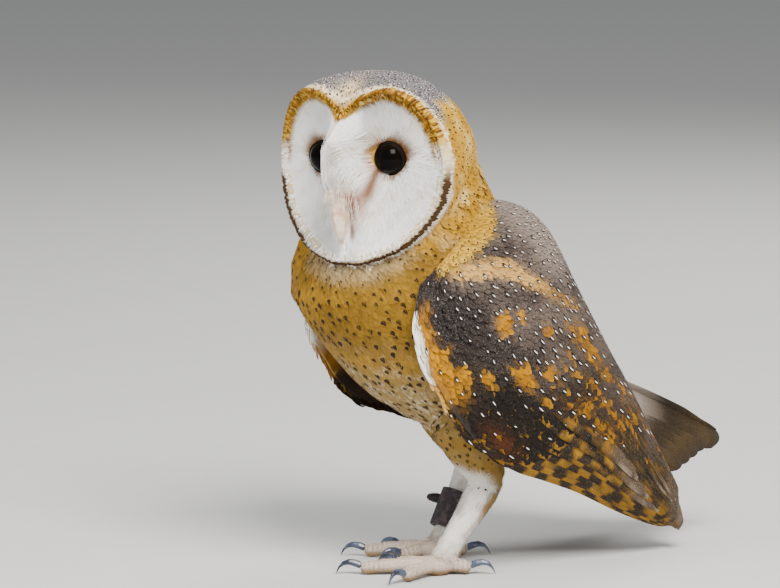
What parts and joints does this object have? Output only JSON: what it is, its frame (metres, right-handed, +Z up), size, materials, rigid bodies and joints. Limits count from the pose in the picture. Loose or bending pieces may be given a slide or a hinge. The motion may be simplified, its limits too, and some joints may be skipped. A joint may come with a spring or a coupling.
{
  "type": "barn owl figure",
  "caption": "Life-size still figure of a barn owl standing on both feet with folded wings and its face turned to its left.",
  "frame": {"origin": "on the floor, under the middle of the owl's bounding box", "axes": "+Z up, the chest faces -Y and the owl's left side is +X"},
  "size_m": [0.1414, 0.2744, 0.2748],
  "materials": {
    "plumage_head": "soft short feathers, white disc and golden head",
    "plumage_breast": "soft golden buff feathers with dark spots",
    "plumage_wing": "grey-brown and gold wing coverts with white drops",
    "plumage_flight": "flight and tail feathers barred gold and dark brown",
    "plumage_leg": "short bristly white leg feathers",
    "toe_skin": "finely scaled pinkish skin",
    "claw": "smooth blue-grey horn",
    "bill": "pale pinkish horn",
    "eye": "wet glossy near-black",
    "cuff_leather": "dark greased leather"
  },
  "bodies": {
    "root": {"head": "plumage_head", "bill_upper": "bill", "bill_lower": "bill", "neck": "plumage_head", "left_wing": "plumage_wing", "left_flight_feathers": "plumage_flight", "right_wing": "plumage_wing", "right_flight_feathers": "plumage_flight", "trunk": "plumage_breast", "tail": "plumage_flight", "left_thigh": "plumage_breast", "left_tarsus": "plumage_leg", "left_foot": "toe_skin", "left_toe_middle": "toe_skin", "left_claw_middle": "claw", "left_toe_outer": "toe_skin", "left_claw_outer": "claw", "left_toe_inner": "toe_skin", "left_claw_inner": "claw", "left_toe_hind": "toe_skin", "left_claw_hind": "claw", "left_eye": "eye", "right_thigh": "plumage_breast", "right_tarsus": "plumage_leg", "right_foot": "toe_skin", "right_toe_middle": "toe_skin", "right_claw_middle": "claw", "right_toe_outer": "toe_skin", "right_claw_outer": "claw", "right_toe_inner": "toe_skin", "right_claw_inner": "claw", "right_toe_hind": "toe_skin", "right_claw_hind": "claw", "right_eye": "eye", "right_anklet": "cuff_leather"}
  },
  "joints": []
}
